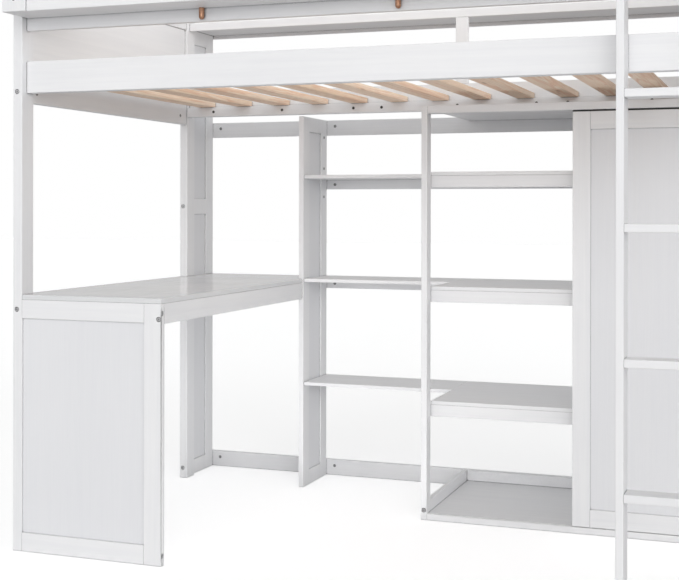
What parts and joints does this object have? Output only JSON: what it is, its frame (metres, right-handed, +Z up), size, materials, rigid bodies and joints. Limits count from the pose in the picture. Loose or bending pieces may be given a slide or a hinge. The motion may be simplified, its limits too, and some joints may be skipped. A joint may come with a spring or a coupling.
{
  "type": "loft bed with desk",
  "caption": "Twin loft bed over a desk, open rear shelves, a shelf block and a wardrobe with one sliding framed door.",
  "frame": {"origin": "on the floor under the middle of the whole bed", "axes": "+X along the bed towards the ladder end, +Y to the wall side, +Z up"},
  "size_m": [2.02, 1.388, 1.72],
  "materials": {
    "white_paint": "satin white paint on solid pine and board",
    "desk_paint": "semi-gloss white paint",
    "pine": "planed bare pine",
    "zinc": "zinc-plated steel",
    "dark_steel": "dark plated steel",
    "brass": "satin copper-toned brass",
    "black_plastic": "matt black moulded plastic",
    "white_plastic": "white extruded plastic",
    "chrome": "chromed steel tube"
  },
  "bodies": {
    "bed": {"back_baluster": "white_paint", "back_side_rail": "white_paint", "barrel_nuts": "dark_steel", "base_rim_boards": "white_paint", "block_base": "white_paint", "block_left_post": "white_paint", "block_right_post": "white_paint", "block_top_panel": "white_paint", "block_top_rail": "white_paint", "desk_front_bottom_rail": "white_paint", "desk_front_panel": "white_paint", "desk_front_stile": "white_paint", "desk_front_top_rail": "white_paint", "desk_left_apron": "white_paint", "desk_right_apron": "white_paint", "desk_top": "desk_paint", "door_tracks": "white_plastic", "end_guard_panels": "white_paint", "end_guard_top_rails": "white_paint", "end_rails": "white_paint", "end_upright_frames": "white_paint", "end_upright_panels": "white_paint", "frame_bolts": "zinc", "front_left_post": "white_paint", "front_right_post": "white_paint", "front_side_rail": "white_paint", "guard_lower_rail": "white_paint", "guard_shelf_bottom": "white_paint", "guard_shelf_ends": "white_paint", "guard_shelf_front": "white_paint", "guard_shelf_pegs": "brass", "guard_shelf_stiles": "white_paint", "guard_upper_rail": "white_paint", "hanging_rod": "chrome", "ladder_rails": "white_paint", "ladder_treads": "white_paint", "middle_upright_frame": "white_paint", "middle_upright_panel": "white_paint", "narrow_shelves": "white_paint", "rear_bottom_rail": "white_paint", "rear_left_post": "white_paint", "rear_right_post": "white_paint", "rear_shelf_rails": "white_paint", "rear_upper_rail": "white_paint", "rod_flanges": "chrome", "shelf_aprons": "white_paint", "slat_ledgers": "white_paint", "slats": "pine", "top_shelf_board": "white_paint", "top_shelf_lip": "white_paint", "top_shelf_rear_rail": "white_paint", "wardrobe_partition": "white_paint", "wardrobe_side_panel": "white_paint", "wide_shelves": "white_paint", "wood_screws": "dark_steel"},
    "sliding_door": {"door_bottom_rail": "white_paint", "door_glides": "black_plastic", "door_panel": "white_paint", "door_stiles": "white_paint", "door_top_rail": "white_paint"}
  },
  "joints": [
    {"name": "door_slide", "type": "slide", "parent": "bed", "child": "sliding_door", "axis": [-1, 0, 0], "range_m": [0, 0.456]}
  ]
}
